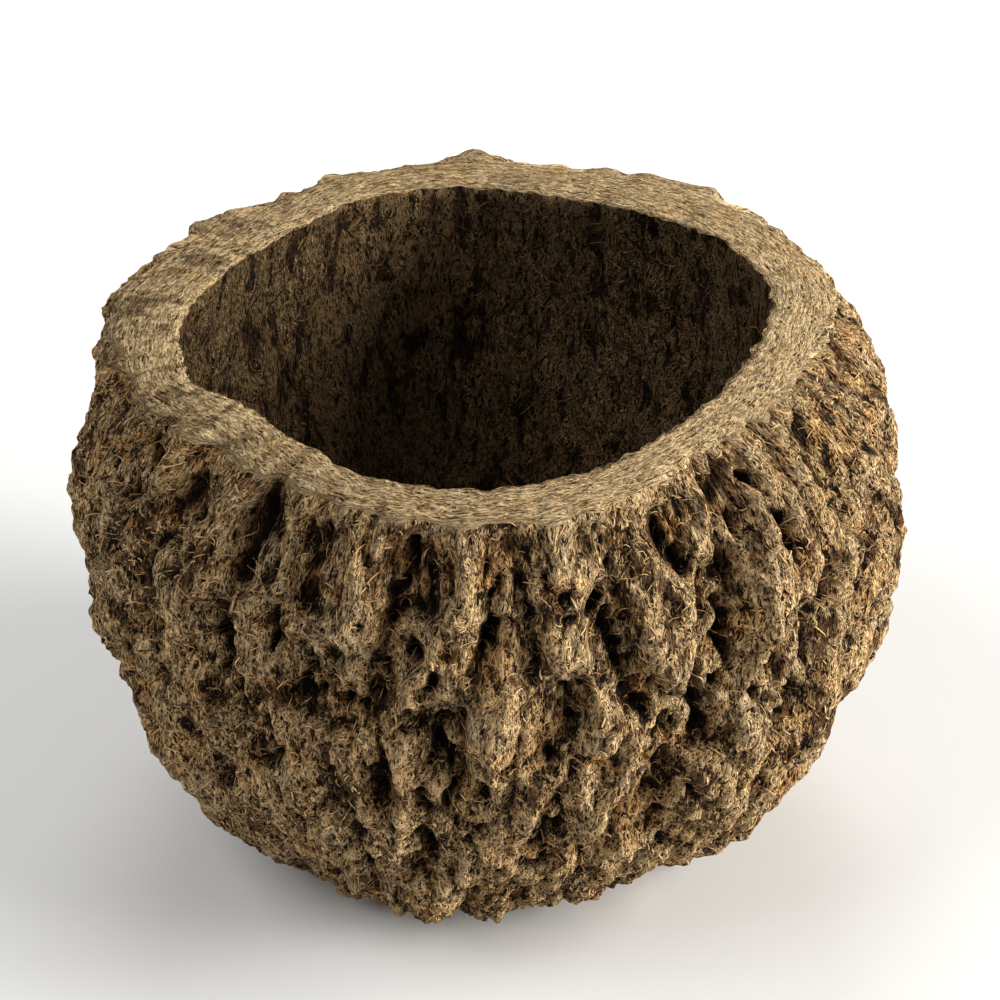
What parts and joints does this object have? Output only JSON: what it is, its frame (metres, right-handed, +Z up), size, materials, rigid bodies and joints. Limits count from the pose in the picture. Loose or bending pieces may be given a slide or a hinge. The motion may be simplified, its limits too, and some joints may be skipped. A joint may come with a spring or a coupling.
{
  "type": "dried coconut pod",
  "caption": "Dried coconut pod cut open at the top: a thick, fibrous, bowl-like husk with a furrowed skin, a flat cut rim and a deep hollow.",
  "frame": {"origin": "the middle of the outline, on the surface the pod stands on", "axes": "+Z up through the open mouth, -Y towards the front"},
  "size_m": [0.1614, 0.1618, 0.1092],
  "materials": {
    "husk": "rough, dry and fibrous, weathered grey-brown"
  },
  "bodies": {
    "root": {"husk": "husk"}
  },
  "joints": []
}
